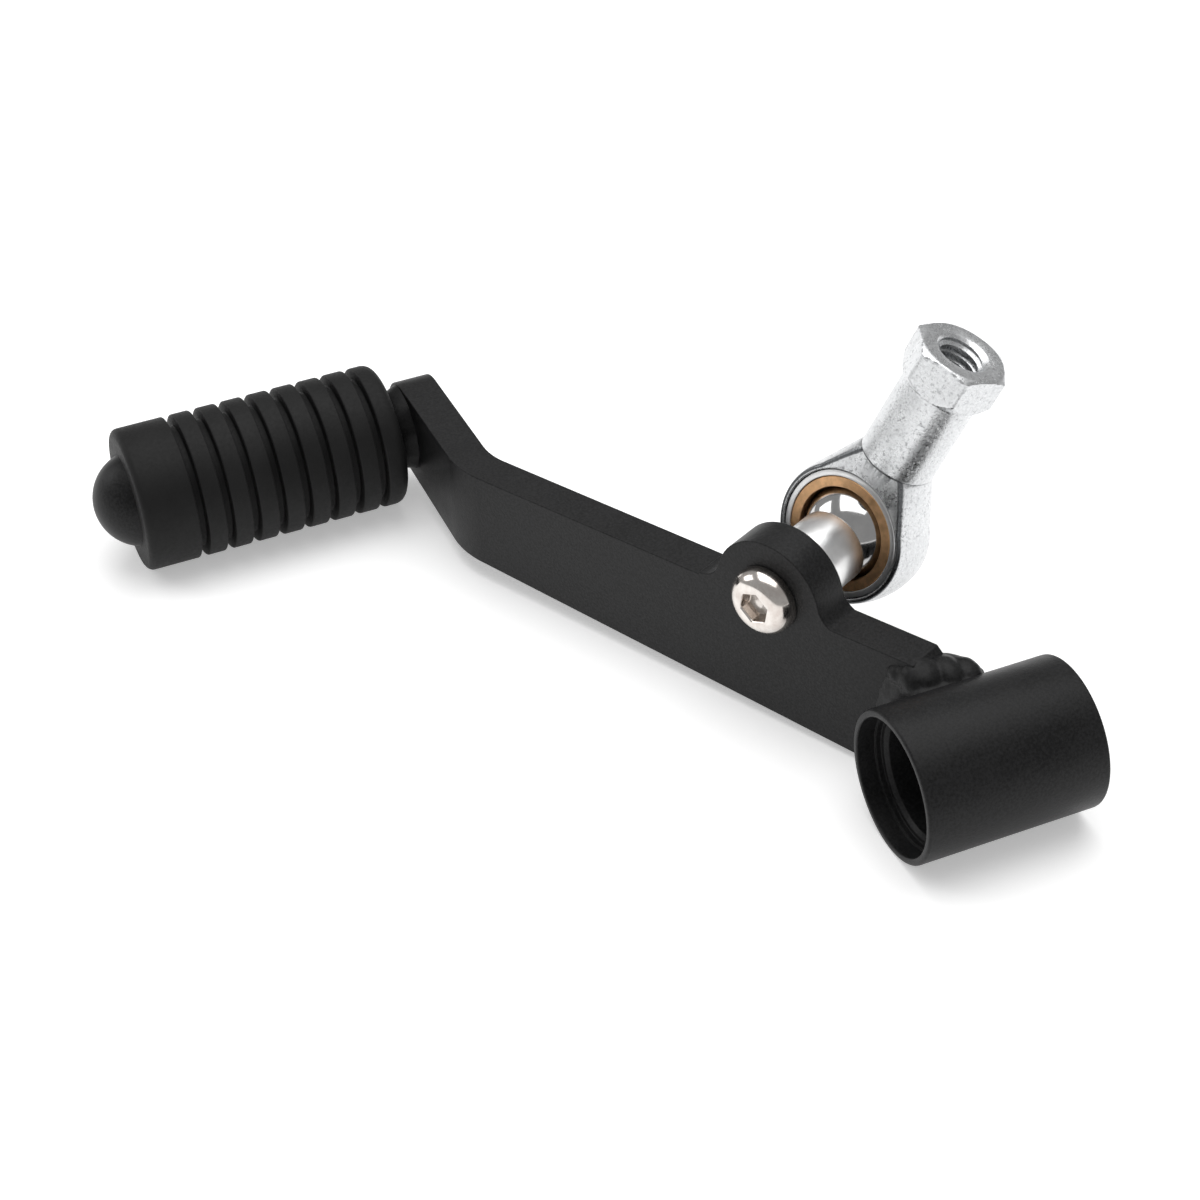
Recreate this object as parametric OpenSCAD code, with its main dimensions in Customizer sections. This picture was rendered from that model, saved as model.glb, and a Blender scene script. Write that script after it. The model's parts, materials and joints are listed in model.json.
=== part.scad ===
// Gear shift lever: a flat arm welded to a pivot tube, a ribbed toe peg at its tip,
// and a spherical rod end on a lug for the linkage.
// Origin at the middle of the pivot tube, +Y along its axis, the arm runs towards -X.

/* [Pivot tube] */
// Outer diameter of the pivot tube
tube_d = 24; // [20:0.5:30]
// Length of the pivot tube
tube_l = 30; // [26:0.5:45]
// Diameter of the bore that turns on the pivot
bore_d = 18; // [12:0.25:18.5]
// Diameter of the seal recess in each mouth
mouth_d = 21.6; // [19.8:0.1:22.4]
// Depth of the seal recess
mouth_depth = 3; // [1:0.25:5]
// Width of the narrower step behind the recess
step_w = 0.9; // [0.5:0.1:2]
// Width of the chamfer that leads into the bore
lead_w = 0.6; // [0.2:0.1:1]

/* [Arm] */
// Thickness of the flat bar
plate_t = 6.5; // [4:0.25:8]
// Angle in plan between the arm and the tip
arm_turn = 27; // [15:1:35]
// Distance along the arm from the pivot axis to the bend
arm_l = 104.5; // [85:0.5:140]
// Height of the arm at the pivot
arm_h_pivot = 23.4; // [16:0.1:23.6]
// Height of the arm at the bend
arm_h_bend = 17.4; // [12:0.1:20]
// Height of the arm's middle line above the pivot axis
arm_mid_z = 0.25; // [-1:0.05:1]
// Inner radius of the bend
bend_r = 12; // [6:0.5:16]
// Distance from the pivot axis to the arm's butt end
arm_butt = 10.2; // [9:0.1:11.5]
// Chamfer on the corners of the butt end, filled by the weld
butt_chamfer = 2.4; // [1:0.1:4]
// Distance along the tip from the bend to the peg axis
tip_l = 28; // [22:0.5:40]
// Radius of the rounded end of the tip
tip_r = 8.2; // [7:0.1:10]

/* [Tube weld] */
// Distance along the arm's front face to the weld's toe
weld_toe = 19; // [17:0.1:22]
// Reach of the weld along the tube, in front of the arm
weld_front_reach = 11.4; // [10:0.1:12.5]
// Reach of the weld along the tube, behind the arm
weld_back_reach = 6.4; // [5:0.1:10]
// Radius of the hollow front flank
weld_hollow = 5.3; // [4:0.1:7]
// Height of the weld's flanks
weld_h = 18; // [14:0.5:20]
// Radius of the beads over the top
weld_bead = 3; // [2:0.1:3.5]
// Distance from bead to bead
bead_pitch = 3.3; // [2:0.1:4]

/* [Lug] */
// Distance along the arm from the pivot axis to the lug
lug_s = 39.5; // [30:0.5:60]
// Height of the lug's centre above the pivot axis
lug_z = 12; // [8:0.25:16]
// Radius of the lug
lug_r = 9.75; // [7.5:0.25:12]
// Radius of the fillets beside the lug
lug_fillet = 4; // [2:0.25:6]

/* [Toe peg] */
// Outer diameter of the rubber
rubber_d = 25; // [22:0.5:28]
// Length of the rubber
rubber_l = 46.2; // [43:0.1:60]
// Gap between the rubber and the tip, where the weld sits
rubber_gap = 4; // [3.2:0.1:6]
// Length of the plain first band
first_band = 9.2; // [6:0.1:10]
// Number of grooves
groove_count = 8; // [4:1:8]
// Distance from groove to groove
groove_pitch = 4.62; // [3.5:0.01:4.62]
// Width of a groove
groove_w = 1.4; // [0.8:0.1:1.8]
// Depth of a groove
groove_depth = 2; // [1:0.1:3]
// Rounding of the rubber's near rim
near_round = 1.2; // [0.5:0.1:2]
// Rounding of the rubber's far rim
far_round = 2.4; // [0.5:0.1:3]
// Diameter of the steel pin in the rubber
pin_d = 12; // [9:0.5:14]
// Diameter of the pin's spigot in the tip
spigot_d = 8; // [5:0.5:8.5]
// Diameter of the domed pin head
dome_d = 16.1; // [14:0.1:18]
// Height of the domed pin head
dome_h = 6; // [4:0.1:7]

/* [Screw and spacer] */
// Diameter of the clamping screw
screw_d = 6; // [4:0.5:6]
// Length of the screw under its head
screw_l = 40; // [38:0.5:50]
// Diameter of the button head
head_d = 11.2; // [10:0.1:13.6]
// Height of the button head
head_h = 3.3; // [2.4:0.1:4]
// Width across the flats of the socket
socket_af = 4; // [2.5:0.5:4]
// Depth of the socket
socket_depth = 2; // [1:0.1:2.4]
// Diameter of the spacer between the lug and the ball
spacer_d = 12.2; // [10.6:0.1:13]
// Distance from the lug's back face to the ball's centre
ball_off = 16.25; // [15.5:0.05:20]
// Width across the flats of the nut
nut_af = 10; // [9:0.5:11]
// Height of the nut
nut_h = 6; // [4:0.25:6.5]
// Thickness of the washer
washer_t = 1.6; // [0.8:0.1:2]
// Diameter of the washer
washer_d = 12; // [10.5:0.1:13]

/* [Rod end] */
// Diameter of the ball
ball_d = 15.9; // [15.5:0.1:16.2]
// Width of the ball between its flats
ball_w = 12; // [11:0.1:12.4]
// Bore of the ball
ball_bore = 8; // [7.5:0.1:8.4]
// Diameter of the housing's round head
eye_d = 24; // [23.4:0.1:28]
// Width of the housing between its flat faces
eye_w = 9; // [8.6:0.1:10]
// How far the round head bulges between its faces
eye_crown = 0.65; // [0.2:0.05:1]
// Outer diameter of the pressed-in race ring
race_d = 20.9; // [20:0.1:21.4]
// Width of the race ring
race_w = 8.6; // [8:0.1:9.4]
// Outer diameter of the bearing liner
liner_d = 18.7; // [18:0.1:19.2]
// Width of the bearing liner
liner_w = 7.4; // [6.5:0.1:8]
// Diameter of the round neck
neck_d = 12.5; // [11:0.1:13.5]
// Distance from the ball's centre to the end face
shank_l = 36.5; // [33:0.5:50]
// Width across the flats of the hex collar
collar_af = 14; // [13:0.1:16]
// Length of the hex collar
collar_l = 6.6; // [4:0.1:9]
// Length of the chamfer behind the hex collar
collar_back = 1.8; // [0.5:0.1:3]
// Length of the chamfer at the hex collar's end
collar_edge = 0.35; // [0.1:0.05:1.5]
// Turn of the hex collar about the shank
collar_turn = 8; // [0:1:30]
// Diameter of the tapped hole
tap_d = 6.8; // [5:0.1:7.2]
// Depth of the tapped hole
tap_depth = 17; // [10:0.5:18]
// Diameter of the countersink at the tapped hole
sink_d = 8.8; // [8:0.1:10]
// Tilt of the rod end on its ball, away from the arm
rest_tilt = 15; // [0:0.5:15]
// Lean of the shank from upright, towards the pivot
rest_lean = 21; // [0:0.5:40]

/* [Fits] */
// Running clearance on the radius
run_gap = 0.08; // [0.04:0.01:0.1]
// Clearance on the radius round parts that stay put
seat_gap = 0.05; // [0.02:0.01:0.2]
// Clearance on the radius round the screw
screw_gap = 0.15; // [0.05:0.05:0.4]

/* [Hidden] */
$fn = 96;
eps = 0.01;

tube_r = tube_d / 2;
bore_r = bore_d / 2;
mouth_r = mouth_d / 2;
step_r = mouth_r - 0.4;
lead_r = bore_r + lead_w;

// The arm's height falls evenly from the pivot to the bend
arm_slope = (arm_h_pivot - arm_h_bend) / 2 / arm_l;
function arm_top(s) = arm_mid_z + arm_h_pivot / 2 - arm_slope * s;
function arm_bottom(s) = arm_mid_z - arm_h_pivot / 2 + arm_slope * s;
bend_tangent = (bend_r + plate_t) * tan(arm_turn / 2);
bend_s = arm_l - bend_tangent;
bend_x = -arm_l * cos(arm_turn);
bend_y = -arm_l * sin(arm_turn);

// The peg lies on the same ground as the tube
peg_x = bend_x - tip_l;
peg_z = rubber_d / 2 - tube_r;
rubber_far = bend_y - rubber_gap;
rubber_near = rubber_far - rubber_l;
pin_r = pin_d / 2;
spigot_r = spigot_d / 2;
dome_r = (dome_d * dome_d / 4 + dome_h * dome_h) / (2 * dome_h);

// Lug fillets: their centres lie one fillet radius above the arm's top edge
lug_rise = lug_z - arm_top(lug_s);
fillet_rise = lug_fillet - lug_rise;
fillet_run = sqrt(pow(lug_r + lug_fillet, 2) - pow(fillet_rise, 2));

ball_r = ball_d / 2;
ball_face_y = plate_t + ball_off;
spacer_l = ball_off - ball_w / 2;
liner_bore_r = ball_r + run_gap;
liner_r = liner_d / 2;
race_r = race_d / 2;
eye_r = eye_d / 2;
neck_r = neck_d / 2;
// The milled flats end where the neck stands a little proud of them
flat_end = eye_r + 2.7;
// The web's sides run from the neck and touch the round head
web_far = norm([flat_end, neck_r]);
web_angle = asin(eye_r / web_far) - atan2(neck_r, flat_end);
web_start = eye_r * sin(web_angle);
web_r = eye_r * cos(web_angle);

// Plan frame of the arm: -X runs along the arm and +Y is its back
module arm_frame() {
    rotate([0, 0, arm_turn]) children();
}

// Frame of the clamping screw: +Z along the screw, from the arm's front face to the back
module screw_frame(along = 0) {
    arm_frame() translate([-lug_s, along, lug_z]) rotate([-90, 0, 0]) children();
}

// Frame of the tilted ball joint: +Y along the ring's axis, +Z upwards in its plane
module ball_frame() {
    arm_frame() translate([-lug_s, ball_face_y, lug_z]) rotate([-rest_tilt, 0, 0]) children();
}

// Frame of the rod end: as the ball joint's, with +Z along the shank
module shank_frame() {
    ball_frame() rotate([0, rest_lean, 0]) children();
}

// Frame of the toe peg: +Z along the pin, towards the tip
module peg_frame(y = 0) {
    translate([peg_x, y, peg_z]) rotate([-90, 0, 0]) children();
}

// A side profile drawn as [distance along, height], stood up as a plate
module plate(thickness) {
    translate([0, thickness, 0]) rotate([90, 0, 0]) linear_extrude(thickness) children();
}

// One fillet between the arm's top edge and the lug, side = 1 towards the tip
module lug_corner(side) {
    centre = [-lug_s - side * fillet_run, arm_top(lug_s) + lug_fillet];
    touch = [-lug_s, lug_z] + (centre - [-lug_s, lug_z]) * lug_r / (lug_r + lug_fillet);
    difference() {
        polygon([
            [centre[0], centre[1] - lug_fillet - 1], centre, touch, [-lug_s, lug_z],
            [-lug_s, centre[1] - lug_fillet - 1]
        ]);
        translate(centre) circle(r = lug_fillet);
    }
}

// A point of the plan, s along the arm and y behind its front face
function plan(s, y) = [-s * cos(arm_turn) - y * sin(arm_turn), -s * sin(arm_turn) + y * cos(arm_turn)];

// Plan of the arm: the straight bar, the bend and the tip
module arm_plan() {
    centre = plan(bend_s, plate_t + bend_r);
    bend_end = bend_x - bend_tangent;
    end_x = peg_x - tip_r - 1;
    difference() {
        polygon([
            plan(arm_butt - 1, 0), plan(arm_butt - 1, plate_t), plan(bend_s, plate_t),
            [bend_end, bend_y + plate_t], [end_x, bend_y + plate_t], [end_x, bend_y], [bend_x, bend_y]
        ]);
        // Inner radius of the bend
        translate(centre) circle(r = bend_r);
        // What the outer radius takes off the corner
        difference() {
            polygon([centre, plan(bend_s, -1), [bend_x, bend_y - 1.2], [bend_end, bend_y - 1]]);
            translate(centre) circle(r = bend_r + plate_t);
        }
    }
}

// Side of the straight bar with its lug, run on past the bend
module bar_side() {
    run_on = arm_l + 6;
    shoulder = arm_butt + butt_chamfer;
    polygon([
        [-arm_butt, arm_bottom(shoulder) + butt_chamfer], [-arm_butt, arm_top(shoulder) - butt_chamfer],
        [-shoulder, arm_top(shoulder)], [-run_on, arm_top(run_on)], [-run_on, arm_bottom(run_on)],
        [-shoulder, arm_bottom(shoulder)]
    ]);
    translate([-lug_s, lug_z]) circle(r = lug_r);
    lug_corner(1);
    lug_corner(-1);
}

// Side of the tip, of even height through the bend, then tapered to its round end
module tip_side() {
    start = bend_x + 10;
    top = arm_top(bend_s);
    bottom = arm_bottom(bend_s);
    polygon([
        [start, bottom], [start, top], [bend_x - bend_tangent, top], [peg_x, peg_z + tip_r],
        [peg_x, peg_z - tip_r], [bend_x - bend_tangent, bottom]
    ]);
    translate([peg_x, peg_z]) circle(r = tip_r);
}

module arm_body() {
    low = -tube_r - 4;
    intersection() {
        translate([0, 0, low]) linear_extrude(lug_z + lug_r + 2 - low) arm_plan();
        union() {
            arm_frame() translate([0, -10, 0]) plate(plate_t + 20) bar_side();
            translate([0, bend_y - 10, 0]) plate(plate_t + 20) tip_side();
        }
    }
}

module tube_solid() {
    translate([0, -tube_l / 2, 0]) rotate([-90, 0, 0]) cylinder(r = tube_r, h = tube_l);
}

module arm() {
    color([0.07, 0.07, 0.075]) difference() {
        arm_body();
        tube_solid();
        screw_frame(-1) cylinder(r = screw_d / 2 + screw_gap, h = plate_t + 2);
        peg_frame(bend_y - 1) cylinder(r = spigot_r + seat_gap, h = plate_t + 2);
    }
}

module pivot_tube() {
    half = tube_l / 2;
    shoulder = half - mouth_depth - step_w;
    color([0.07, 0.07, 0.075]) rotate([-90, 0, 0]) rotate_extrude() polygon([
        [bore_r, 0], [bore_r, shoulder - lead_w], [lead_r, shoulder], [step_r, shoulder],
        [step_r, half - mouth_depth], [mouth_r, half - mouth_depth], [mouth_r, half], [tube_r, half],
        [tube_r, -half], [mouth_r, -half], [mouth_r, -half + mouth_depth],
        [step_r, -half + mouth_depth], [step_r, -shoulder], [lead_r, -shoulder],
        [bore_r, -shoulder + lead_w]
    ]);
}

// A row of three beads along the tube, over the top or under the bottom
module weld_beads(side, bead_r) {
    for (i = [0:2]) let(angle = 51.9 - 3.3 * i, out_r = tube_r + bead_r - 1.4 - 0.55 * i)
        translate([-out_r * sin(angle), bead_pitch * (i - 1.3), side * out_r * cos(angle)])
            sphere(r = bead_r, $fn = 48);
}

// Weld between the butt end and the tube: a hollow front flank and two rows of beads
module pivot_weld() {
    toe = plan(weld_toe, 0);
    color([0.075, 0.075, 0.08]) difference() {
        union() {
            translate([0, 0, -weld_h / 2]) linear_extrude(weld_h) difference() {
                polygon([
                    toe,
                    [-tube_r + weld_bead, -weld_front_reach],
                    [-tube_r + weld_bead, weld_back_reach],
                    [-tube_r - butt_chamfer - 1, weld_back_reach - 1.2]
                ]);
                translate([-tube_r - weld_hollow * 0.87, -weld_front_reach - weld_hollow / 3])
                    circle(r = weld_hollow);
            }
            weld_beads(1, weld_bead);
            weld_beads(-1, weld_bead * 0.8);
        }
        tube_solid();
        arm_body();
    }
}

module peg_pin() {
    color([0.07, 0.07, 0.075]) peg_frame() {
        translate([0, 0, rubber_near]) {
            cylinder(r = pin_r, h = rubber_l + rubber_gap);
            intersection() {
                translate([0, 0, dome_r - dome_h]) sphere(r = dome_r);
                translate([0, 0, -dome_h - 1]) cylinder(r = dome_r + 1, h = dome_h + 1);
            }
        }
        translate([0, 0, bend_y - eps]) cylinder(r = spigot_r, h = plate_t + eps);
    }
}

// Weld ring between the pin and the tip
module peg_weld() {
    lumps = 9;
    bead_r = 1.9;
    color([0.075, 0.075, 0.08]) peg_frame(bend_y) intersection() {
        difference() {
            union() {
                translate([0, 0, -1.6]) cylinder(r1 = pin_r + 0.3, r2 = pin_r + 1.7, h = 1.6);
                for (i = [0:lumps - 1]) rotate([0, 0, 360 / lumps * i])
                    translate([pin_r + 0.2, 0, -0.6]) sphere(r = bead_r, $fn = 40);
            }
            translate([0, 0, -10]) cylinder(r = pin_r, h = 20);
        }
        translate([0, 0, -5]) cylinder(r = tip_r, h = 5);
    }
}

// Half outline of the rubber as [radius, distance from its near end]
module peg_rubber() {
    r = rubber_d / 2;
    hole_r = pin_r + seat_gap;
    color([0.06, 0.06, 0.06]) peg_frame(rubber_near) difference() {
        rotate_extrude() difference() {
            translate([hole_r, 0]) square([r - hole_r, rubber_l]);
            rim_cut(r, 0, near_round, 1);
            rim_cut(r, rubber_l, far_round, -1);
            for (i = [0:groove_count - 1])
                translate([r - groove_depth, first_band + groove_pitch * i])
                    square([groove_depth + 1, groove_w]);
        }
    }
}

// What a rounded rim takes off the corner of a half outline
module rim_cut(r, end, round_r, side) {
    translate([r - round_r, end + side * round_r]) difference() {
        translate([0, side > 0 ? -round_r - 1 : 0]) square([round_r + 1, round_r + 1]);
        circle(r = round_r);
    }
}

module lever_screw() {
    rim = 0.7;
    flat_r = 2.9;
    steps = 8;
    // Button head: a rim, then a rounded crown up to a small flat
    crown = [for (i = [0:steps])
        [flat_r + (head_d / 2 - flat_r) * cos(90 / steps * i), -rim - (head_h - rim) * sin(90 / steps * i)]];
    color([0.78, 0.76, 0.74]) screw_frame() difference() {
        union() {
            rotate_extrude() polygon(concat([[0, 0], [head_d / 2, 0]], crown, [[0, -head_h]]));
            cylinder(r = screw_d / 2, h = screw_l - 0.8);
            translate([0, 0, screw_l - 0.8]) cylinder(r1 = screw_d / 2, r2 = screw_d / 2 - 0.8, h = 0.8);
        }
        translate([0, 0, -head_h - 1]) cylinder(r = socket_af / sqrt(3), h = socket_depth + 1, $fn = 6);
    }
}

module spacer() {
    color([0.85, 0.85, 0.86]) screw_frame(plate_t) difference() {
        union() {
            cylinder(r = spacer_d / 2, h = spacer_l);
            cylinder(r = ball_bore / 2 - seat_gap, h = spacer_l + ball_w - 0.3);
        }
        translate([0, 0, -1]) cylinder(r = screw_d / 2 + screw_gap, h = spacer_l + ball_w + 2);
    }
}

module ball() {
    color([0.88, 0.88, 0.9]) screw_frame(ball_face_y) difference() {
        intersection() {
            sphere(r = ball_r);
            translate([0, 0, -ball_w / 2]) cylinder(r = ball_r + 1, h = ball_w);
        }
        translate([0, 0, -ball_w]) cylinder(r = ball_bore / 2, h = 2 * ball_w);
    }
}

// A ring of rectangular section about the joint's axis
module joint_ring(inner_r, outer_r, width) {
    rotate([90, 0, 0]) difference() {
        translate([0, 0, -width / 2]) cylinder(r = outer_r, h = width);
        translate([0, 0, -width]) cylinder(r = inner_r, h = 2 * width);
    }
}

module liner() {
    color([0.72, 0.5, 0.26]) ball_frame() rotate([90, 0, 0]) difference() {
        translate([0, 0, -liner_w / 2]) cylinder(r = liner_r, h = liner_w);
        sphere(r = liner_bore_r);
    }
}

module race_ring() {
    edge = 0.3;
    color([0.75, 0.76, 0.78]) shank_frame() rotate([90, 0, 0]) rotate_extrude() polygon([
        [liner_r + run_gap, -race_w / 2], [race_r - edge, -race_w / 2], [race_r, -race_w / 2 + edge],
        [race_r, race_w / 2 - edge], [race_r - edge, race_w / 2], [liner_r + run_gap, race_w / 2]
    ]);
}

// Half outline of the round head, bulging between its faces
function eye_outline(steps) = let(bulge_r = (pow(eye_w / 2, 2) + pow(eye_crown, 2)) / (2 * eye_crown))
    [for (i = [-steps:steps]) let(h = eye_w / 2 * i / steps)
        [eye_r - bulge_r + sqrt(pow(bulge_r, 2) - pow(h, 2)), h]];

module hex_collar() {
    corner_r = collar_af / sqrt(3);
    low = shank_l - collar_l;
    // The turned ends take the corners off the hexagon
    intersection() {
        translate([0, 0, low]) rotate([0, 0, collar_turn])
            cylinder(r = corner_r, h = collar_l, $fn = 6);
        union() {
            translate([0, 0, low]) cylinder(r1 = neck_r + 0.6, r2 = corner_r + 0.2, h = collar_back);
            translate([0, 0, low + collar_back])
                cylinder(r = corner_r + 0.2, h = collar_l - collar_back - collar_edge);
            translate([0, 0, shank_l - collar_edge])
                cylinder(r1 = corner_r + 0.2, r2 = corner_r - collar_edge, h = collar_edge);
        }
    }
}

module rod_end() {
    color([0.72, 0.73, 0.75]) shank_frame() difference() {
        union() {
            rotate([90, 0, 0]) rotate_extrude()
                polygon(concat([[0, -eye_w / 2]], eye_outline(4), [[0, eye_w / 2]]));
            intersection() {
                translate([0, 0, web_start])
                    cylinder(r1 = web_r, r2 = neck_r, h = flat_end - web_start);
                translate([-eye_r, -eye_w / 2, 0]) cube([eye_d, eye_w, flat_end]);
            }
            translate([0, 0, flat_end - eps]) cylinder(r = neck_r, h = shank_l - collar_l - flat_end + 1);
            hex_collar();
        }
        rotate([90, 0, 0]) translate([0, 0, -eye_w]) cylinder(r = race_r + seat_gap, h = 2 * eye_w);
        translate([0, 0, shank_l - tap_depth]) cylinder(r = tap_d / 2, h = tap_depth + 1);
        translate([0, 0, shank_l - (sink_d - tap_d) / 2])
            cylinder(r1 = tap_d / 2, r2 = sink_d / 2 + 1, h = (sink_d - tap_d) / 2 + 1);
    }
}

washer_y = ball_face_y + ball_w / 2;

module washer() {
    color([0.75, 0.76, 0.78]) screw_frame(washer_y) difference() {
        cylinder(r = washer_d / 2, h = washer_t);
        translate([0, 0, -1]) cylinder(r = screw_d / 2 + screw_gap, h = washer_t + 2);
    }
}

insert_r = nut_af / 2 - 0.9;
insert_h = 1.9;

module lock_nut() {
    collar = 2.4;
    color([0.72, 0.73, 0.75]) screw_frame(washer_y + washer_t) difference() {
        union() {
            cylinder(r = nut_af / sqrt(3), h = nut_h - collar / 2, $fn = 6);
            cylinder(r = nut_af / 2 - 0.3, h = nut_h);
        }
        translate([0, 0, -1]) cylinder(r = screw_d / 2 + seat_gap, h = nut_h + 2);
        translate([0, 0, nut_h - insert_h - 0.3]) cylinder(r = insert_r, h = insert_h);
    }
}

module nut_insert() {
    color([0.2, 0.35, 0.6]) screw_frame(washer_y + washer_t + nut_h - insert_h - 0.3) difference() {
        cylinder(r = insert_r, h = insert_h);
        translate([0, 0, -1]) cylinder(r = screw_d / 2 + seat_gap, h = insert_h + 2);
    }
}

arm();
pivot_tube();
pivot_weld();
peg_pin();
peg_weld();
peg_rubber();
lever_screw();
spacer();
ball();
liner();
race_ring();
rod_end();
washer();
lock_nut();
nut_insert();
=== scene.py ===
"""Dresses the gear shift lever: finished pieces over its solid model, materials and studio."""

import json
import math

import bmesh
import bpy
from bpy.props import FloatProperty, FloatVectorProperty, IntProperty, PointerProperty
from mathutils import Matrix, Vector, noise


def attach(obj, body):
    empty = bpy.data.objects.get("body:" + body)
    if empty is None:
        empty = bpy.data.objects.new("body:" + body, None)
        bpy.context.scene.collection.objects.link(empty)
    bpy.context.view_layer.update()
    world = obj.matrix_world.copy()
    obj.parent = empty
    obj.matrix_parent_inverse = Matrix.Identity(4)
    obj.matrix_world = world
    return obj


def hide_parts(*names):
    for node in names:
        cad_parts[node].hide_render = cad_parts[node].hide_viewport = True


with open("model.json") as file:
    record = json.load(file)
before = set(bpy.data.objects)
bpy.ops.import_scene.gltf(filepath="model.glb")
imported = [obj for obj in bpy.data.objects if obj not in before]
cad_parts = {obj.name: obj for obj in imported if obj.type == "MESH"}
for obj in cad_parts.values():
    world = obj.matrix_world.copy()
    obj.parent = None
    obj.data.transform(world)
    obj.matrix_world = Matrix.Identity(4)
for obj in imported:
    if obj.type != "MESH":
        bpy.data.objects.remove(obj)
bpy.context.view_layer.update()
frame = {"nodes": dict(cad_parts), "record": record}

bl_info = {
    "name": "Gear Shift Lever",
    "version": (1, 0, 0),
    "blender": (4, 5, 0),
    "location": "View3D > Sidebar > Lever",
    "description": "Builds the finished pieces of a motorcycle gear shift lever",
    "category": "Object",
}

MM = 0.001
TURN = math.tau
SIXTH = TURN / 6
# Name of the vertex attribute that says how much shade is painted along edges and recesses.
EDGE_SHADE = "painted_edge_shade"


# Places on the lever, as the solid model sets them


def turned(degrees, axis):
    return Matrix.Rotation(math.radians(degrees), 4, axis)


def moved(x, y, z):
    return Matrix.Translation(Vector((x, y, z)) * MM)


PLATE = 6.5
TUBE_RADIUS = 12
TUBE_HALF = 15
BEND = 27
SCREW_ALONG = 39.5
SCREW_HEIGHT = 12
SCREW_LENGTH = 40.0
SPACER_LENGTH = 10.25
BALL_HALF = 6.0
BALL_PLACE = PLATE + SPACER_LENGTH + BALL_HALF
HEAD_TILT = 15
HEAD_LEAN = 21
COLLAR_TURN = 12

ARM = turned(BEND, "Z")
SCREW = ARM @ moved(-SCREW_ALONG, 0, SCREW_HEIGHT) @ turned(-90, "X")
BALL = ARM @ moved(-SCREW_ALONG, BALL_PLACE, SCREW_HEIGHT) @ turned(-HEAD_TILT, "X")
RING = BALL @ turned(90, "X")
SHANK = BALL @ turned(HEAD_LEAN, "Y")
TUBE = turned(-90, "X")
PEG = moved(-121.11, -47.442, 0.5) @ turned(-90, "X")

EYE_RADIUS = 12
EYE_HALF = 4.5
EYE_CROWN = 0.65
EYE_BORE = 10.5
NECK_RADIUS = 6.25
NECK_START = 14.7
COLLAR_START = 29.9
COLLAR_END = 36.5
HEX_HALF = 7
TAP_END = 19.5

RUBBER_RADIUS = 12.5
RUBBER_BORE = 6.05
RUBBER_LENGTH = 46.2
RUBBER_SHIFT = 4.0
GROOVE_RADIUS = 10.5
GROOVES = 8
GROOVE_PITCH = 4.62
GROOVE_WIDTH = 1.4
FIRST_GROOVE = 9.2
DOME_RADIUS = 8.05
DOME_HEIGHT = 6


# Mesh helpers


def soften(points, segments=4, closed=True):
    """Rounds the corners of an outline given as (x, y, corner radius)."""
    out = []
    count = len(points)
    for i, (x, y, radius) in enumerate(points):
        if radius == 0 or (not closed and i in (0, count - 1)):
            out.append((x, y))
            continue
        corner = Vector((x, y))
        before = Vector(points[i - 1][:2]) - corner
        after = Vector(points[(i + 1) % count][:2]) - corner
        half = before.angle(after) / 2
        reach = min(radius / math.tan(half), before.length * 0.49, after.length * 0.49)
        radius = reach * math.tan(half)
        middle = (before.normalized() + after.normalized()).normalized()
        centre = corner + middle * (radius / math.sin(half))
        start = corner + before.normalized() * reach - centre
        end = corner + after.normalized() * reach - centre
        sweep = math.copysign(math.pi - 2 * half, start.x * end.y - start.y * end.x)
        for k in range(segments + 1):
            point = centre + Matrix.Rotation(sweep * k / segments, 2) @ start
            out.append((point.x, point.y))
    return out


def arc(cx, cy, radius, start, end, steps):
    """Points of an arc in degrees, for use in an outline."""
    angles = [math.radians(start + (end - start) * k / steps) for k in range(steps + 1)]
    return [(cx + radius * math.cos(a), cy + radius * math.sin(a)) for a in angles]


def lathe(bm, profile, place, closed=True, steps=128):
    """Spins an outline of (radius, height) in millimetres about the Z axis of its place."""
    before = set(bm.verts)
    verts = [bm.verts.new((radius * MM, 0, height * MM)) for radius, height in profile]
    pairs = zip(verts, verts[1:] + verts[:1]) if closed else zip(verts, verts[1:])
    edges = [bm.edges.new(pair) for pair in pairs]
    bmesh.ops.spin(
        bm, geom=verts + edges, cent=(0, 0, 0), axis=(0, 0, 1), dvec=(0, 0, 0),
        angle=TURN, steps=steps, use_merge=True, use_normal_flip=False, use_duplicate=False,
    )
    made = [v for v in bm.verts if v not in before]
    bmesh.ops.remove_doubles(bm, verts=made, dist=2e-6)
    made = [v for v in bm.verts if v not in before]
    bmesh.ops.transform(bm, matrix=place, verts=made)
    return made


def loft(bm, rings, place, close_start=False, close_end=False):
    """Skins rings of as many points each, in millimetres, one after another."""
    rows = [[bm.verts.new(Vector(point) * MM) for point in ring] for ring in rings]
    for near, far in zip(rows, rows[1:]):
        for k, vert in enumerate(near):
            bm.faces.new((near[k - 1], vert, far[k], far[k - 1]))
    if close_start:
        bm.faces.new(rows[0])
    if close_end:
        bm.faces.new(rows[-1])
    made = [v for row in rows for v in row]
    bmesh.ops.transform(bm, matrix=place, verts=made)
    return made


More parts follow.
